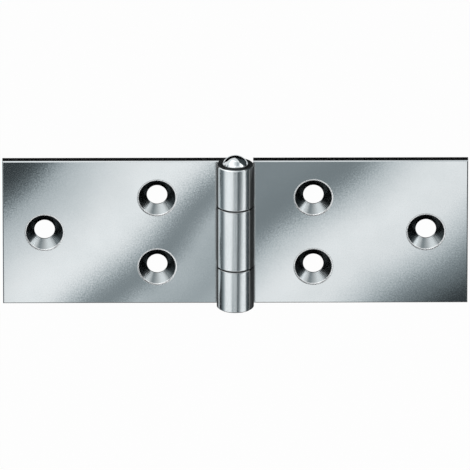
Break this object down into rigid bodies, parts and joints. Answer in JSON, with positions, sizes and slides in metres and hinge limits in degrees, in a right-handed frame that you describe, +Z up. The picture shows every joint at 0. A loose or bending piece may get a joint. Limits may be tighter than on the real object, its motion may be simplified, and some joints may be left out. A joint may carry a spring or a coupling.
{
  "type": "back flap hinge",
  "caption": "Steel flap hinge laid open flat, with two rectangular leaves, countersunk screw holes and a rolled barrel round a riveted pin.",
  "frame": {"origin": "on the pin's axis, halfway between the tips of its heads, which is the centre of the open hinge's bounding box and 0.35 mm above the middle of the leaves", "axes": "+Z up along the pin, +X from the barrel across the right leaf in its open plane, +Y out of the backs of the leaves; the barrel stands towards -Y"},
  "size_m": [0.1, 0.008, 0.0362],
  "materials": {
    "leaf_steel": "polished bright steel, finely grained",
    "pin_steel": "polished bright steel"
  },
  "bodies": {
    "fixed_side": {"left_leaf": "leaf_steel", "hinge_pin": "pin_steel"},
    "swinging_side": {"right_leaf": "leaf_steel"}
  },
  "joints": [
    {"name": "leaf_swing", "type": "hinge", "parent": "fixed_side", "child": "swinging_side", "pos_m": [0, 0, 0], "axis": [0, 0, 1], "range_deg": [-184, 84]}
  ]
}
